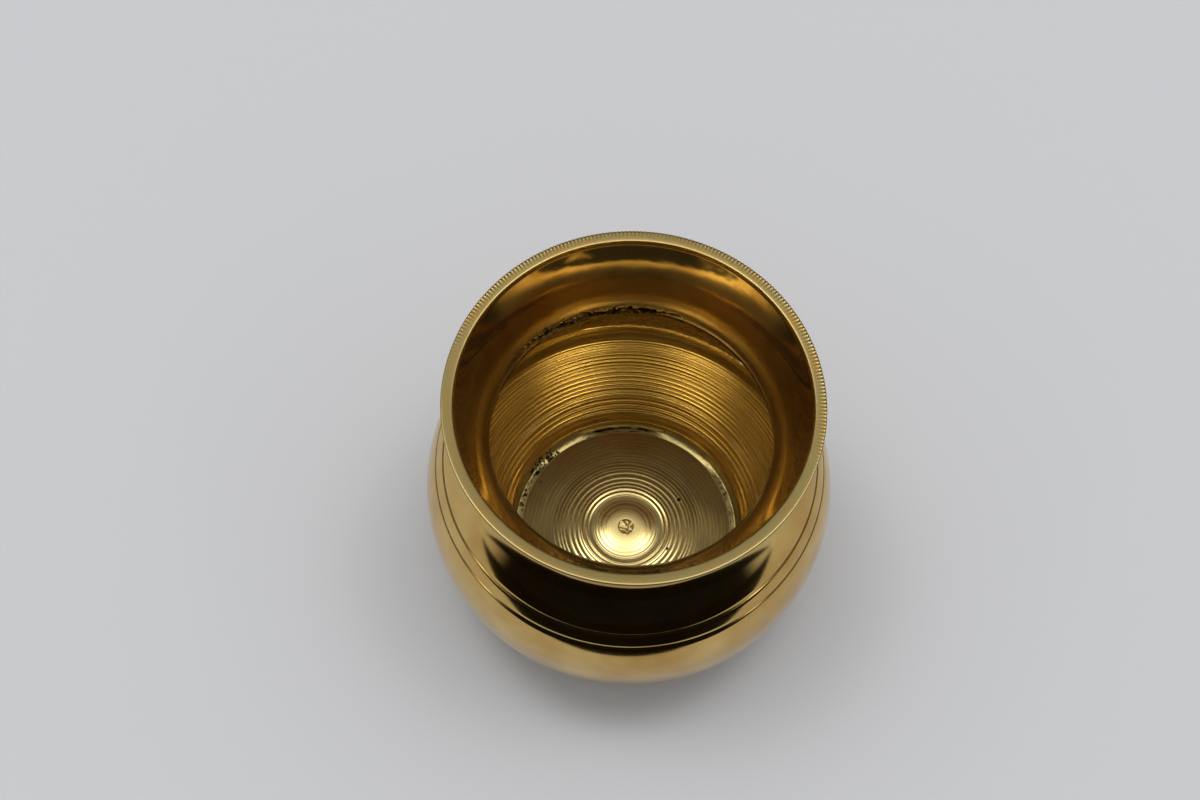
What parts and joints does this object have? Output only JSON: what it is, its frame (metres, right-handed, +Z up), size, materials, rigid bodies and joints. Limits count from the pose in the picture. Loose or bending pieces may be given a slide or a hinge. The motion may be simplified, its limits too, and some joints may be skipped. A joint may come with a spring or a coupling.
{
  "type": "lota water pot",
  "caption": "Small round-bellied brass lota with a flared milled lip, narrow throat, incised shoulder lines, lathe-grooved inside and flat base, for holding and pouring water.",
  "frame": {"origin": "centre of the flat base that the pot stands on", "axes": "+Z up along the turning axis, out of the mouth; X and Y are alike, because the pot is round"},
  "size_m": [0.0714, 0.0714, 0.0607],
  "materials": {
    "polished_brass": "polished",
    "turned_brass": "lathe-turned, satin",
    "braze_filler": "as brazed, rough"
  },
  "bodies": {
    "root": {"neck_collar": "polished_brass", "neck_braze": "braze_filler", "shoulder_shell": "polished_brass", "belly_braze": "braze_filler", "lower_bowl": "turned_brass", "base_braze": "braze_filler", "base_disc": "turned_brass"}
  },
  "joints": []
}
